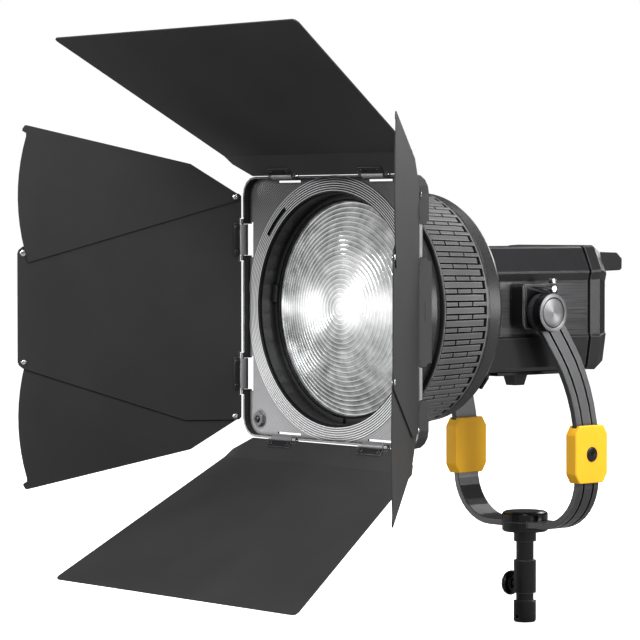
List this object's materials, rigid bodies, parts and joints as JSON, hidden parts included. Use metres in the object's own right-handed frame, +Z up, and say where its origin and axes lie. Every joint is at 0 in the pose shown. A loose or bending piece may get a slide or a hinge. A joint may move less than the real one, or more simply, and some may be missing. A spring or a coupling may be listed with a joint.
{
  "type": "fresnel spotlight",
  "caption": "Fresnel spotlight with a ribbed focus ring, hinged barndoor leaves with swinging wings, and a tilting yoke on a stand pin.",
  "frame": {"origin": "centre of the blind end of the 16 mm receiver bore in the stand pin, on the pan axis", "axes": "+Z up along the pan axis, -Y the way the light points, +X right as seen from in front of the lens"},
  "size_m": [0.6345, 0.6677, 0.7095],
  "materials": {
    "pin_black": "glossy black paint on turned steel",
    "yoke_metal": "dark grey anodised, fine grain along the bar",
    "yellow_paint": "satin golden yellow, slightly worn edges",
    "body_paint": "satin black powder coat",
    "bracket_black": "black anodised block",
    "rubber_grip": "matt moulded rubber",
    "bright_steel": "bright turned steel",
    "frame_plate": "dark plate with fine concentric machining lines",
    "leaf_paint": "matt black sheet, fine texture",
    "lens_glass": "clear pressed glass with concentric steps",
    "mirror_bowl": "polished reflector",
    "raw_alloy": "extruded aluminium",
    "black_plastic": "matt moulded black"
  },
  "bodies": {
    "stand": {"stand_pin": "pin_black", "hub_base": "pin_black", "hub_cap": "pin_black", "yoke_bow": "yoke_metal", "yoke_arm_right": "yoke_metal", "yoke_arm_left": "yoke_metal", "joint_block_right": "yellow_paint", "joint_block_left": "yellow_paint", "block_bolt_right": "pin_black", "block_bolt_left": "pin_black", "tilt_pivot_right": "pin_black", "tilt_pivot_left": "pin_black"},
    "tilt_lever": {"tilt_lever": "pin_black"},
    "lock_screw": {"lock_screw": "bright_steel"},
    "lock_knob": {"lock_knob": "pin_black"},
    "lamp": {"lamp_housing": "body_paint", "gasket": "rubber_grip", "rear_cover": "body_paint", "rear_handle": "body_paint", "cable_socket": "bright_steel", "bottom_rail": "body_paint", "bottom_foot": "body_paint", "side_bracket_right": "bracket_black", "side_bracket_left": "bracket_black", "reflector": "mirror_bowl", "led_module": "raw_alloy", "heat_sink": "raw_alloy", "fan_frame": "black_plastic", "front_collar": "body_paint", "fresnel_barrel": "body_paint"},
    "release_pin_right": {"release_pin_right": "bright_steel"},
    "release_pin_left": {"release_pin_left": "bright_steel"},
    "socket_ring": {"socket_ring": "black_plastic"},
    "fan": {"fan_rotor": "black_plastic"},
    "mount_latch": {"mount_latch": "body_paint"},
    "focus_ring": {"focus_ring": "rubber_grip"},
    "lens": {"lens_carrier": "body_paint", "fresnel_lens": "lens_glass", "lens_retainer": "body_paint"},
    "door_frame": {"door_frame": "frame_plate", "hinge_pin_right_a": "bright_steel", "hinge_pin_right_b": "bright_steel", "hinge_pin_top_a": "bright_steel", "hinge_pin_top_b": "bright_steel", "hinge_pin_left_a": "bright_steel", "hinge_pin_left_b": "bright_steel", "hinge_pin_bottom_a": "bright_steel", "hinge_pin_bottom_b": "bright_steel"},
    "leaf_top": {"leaf_top": "leaf_paint"},
    "leaf_bottom": {"leaf_bottom": "leaf_paint"},
    "leaf_left": {"leaf_left": "leaf_paint"},
    "leaf_right": {"leaf_right": "leaf_paint"},
    "wing_left_upper": {"wing_left_upper": "leaf_paint"},
    "wing_left_lower": {"wing_left_lower": "leaf_paint"},
    "wing_right_upper": {"wing_right_upper": "leaf_paint"},
    "wing_right_lower": {"wing_right_lower": "leaf_paint"}
  },
  "joints": [
    {"name": "tilt", "type": "hinge", "parent": "stand", "child": "lamp", "pos_m": [0, -0.0755, 0.312], "axis": [1, 0, 0], "range_deg": [-90, 45]},
    {"name": "tilt_lock_turn", "type": "hinge", "parent": "stand", "child": "tilt_lever", "pos_m": [-0.115, -0.0755, 0.312], "axis": [1, 0, 0], "range_deg": [0, 70]},
    {"name": "lock_screw_slide", "type": "slide", "parent": "stand", "child": "lock_screw", "axis": [-1, 0, 0], "range_m": [0, 0.00301]},
    {"name": "lock_knob_turn", "type": "hinge", "parent": "lock_screw", "child": "lock_knob", "pos_m": [-0.014, 0, -0.029], "axis": [-1, 0, 0], "range_deg": [0, 720]},
    {"name": "release_pin_right_pull", "type": "slide", "parent": "lamp", "child": "release_pin_right", "axis": [1, 0, 0], "range_m": [0, 0.004]},
    {"name": "release_pin_left_pull", "type": "slide", "parent": "lamp", "child": "release_pin_left", "axis": [-1, 0, 0], "range_m": [0, 0.004]},
    {"name": "socket_ring_turn", "type": "hinge", "parent": "lamp", "child": "socket_ring", "pos_m": [0, 0.067, 0.254], "axis": [0, 1, 0], "range_deg": [0, 45]},
    {"name": "fan_spin", "type": "hinge", "parent": "lamp", "child": "fan", "pos_m": [0, -0.0385, 0.315], "axis": [0, 1, 0], "continuous": true},
    {"name": "mount_latch_slide", "type": "slide", "parent": "lamp", "child": "mount_latch", "axis": [0, 1, 0], "range_m": [0, 0.005]},
    {"name": "focus_turn", "type": "hinge", "parent": "lamp", "child": "focus_ring", "pos_m": [0, -0.3145, 0.318], "axis": [0, 1, 0], "range_deg": [0, 150]},
    {"name": "lens_slide", "type": "slide", "parent": "lamp", "child": "lens", "axis": [0, 1, 0], "range_m": [0, 0.0501]},
    {"name": "doors_turn", "type": "hinge", "parent": "lamp", "child": "door_frame", "pos_m": [0, -0.3145, 0.318], "axis": [0, 1, 0], "range_deg": [-90, 90]},
    {"name": "leaf_top_fold", "type": "hinge", "parent": "door_frame", "child": "leaf_top", "pos_m": [0, -0.324, 0.4737], "axis": [1, 0, 0], "range_deg": [-35, 62]},
    {"name": "leaf_bottom_fold", "type": "hinge", "parent": "door_frame", "child": "leaf_bottom", "pos_m": [0, -0.324, 0.1623], "axis": [-1, 0, 0], "range_deg": [-35, 62]},
    {"name": "leaf_left_fold", "type": "hinge", "parent": "door_frame", "child": "leaf_left", "pos_m": [-0.1557, -0.324, 0.318], "axis": [0, 0, -1], "range_deg": [-60, 35]},
    {"name": "leaf_right_fold", "type": "hinge", "parent": "door_frame", "child": "leaf_right", "pos_m": [0.1557, -0.324, 0.318], "axis": [0, 0, 1], "range_deg": [-60, 35]},
    {"name": "wing_left_upper_fold", "type": "hinge", "parent": "leaf_left", "child": "wing_left_upper", "pos_m": [-0.16064, -0.33212, 0.45], "axis": [0.8545, -0.5195, 0], "range_deg": [0, 30]},
    {"name": "wing_left_lower_fold", "type": "hinge", "parent": "leaf_left", "child": "wing_left_lower", "pos_m": [-0.16064, -0.33212, 0.186], "axis": [-0.8545, 0.5195, 0], "range_deg": [0, 30]},
    {"name": "wing_right_upper_fold", "type": "hinge", "parent": "leaf_right", "child": "wing_right_upper", "pos_m": [0.16201, -0.3311, 0.45], "axis": [0.7478, 0.6639, 0], "range_deg": [0, 30]},
    {"name": "wing_right_lower_fold", "type": "hinge", "parent": "leaf_right", "child": "wing_right_lower", "pos_m": [0.16201, -0.3311, 0.186], "axis": [-0.7478, -0.6639, 0], "range_deg": [0, 30]}
  ],
  "couplings": [
    {"joint": "lock_screw_slide", "follows": "lock_knob_turn", "m_per_rad": 0.00023873},
    {"joint": "lens_slide", "follows": "focus_turn", "m_per_rad": 0.019099}
  ]
}
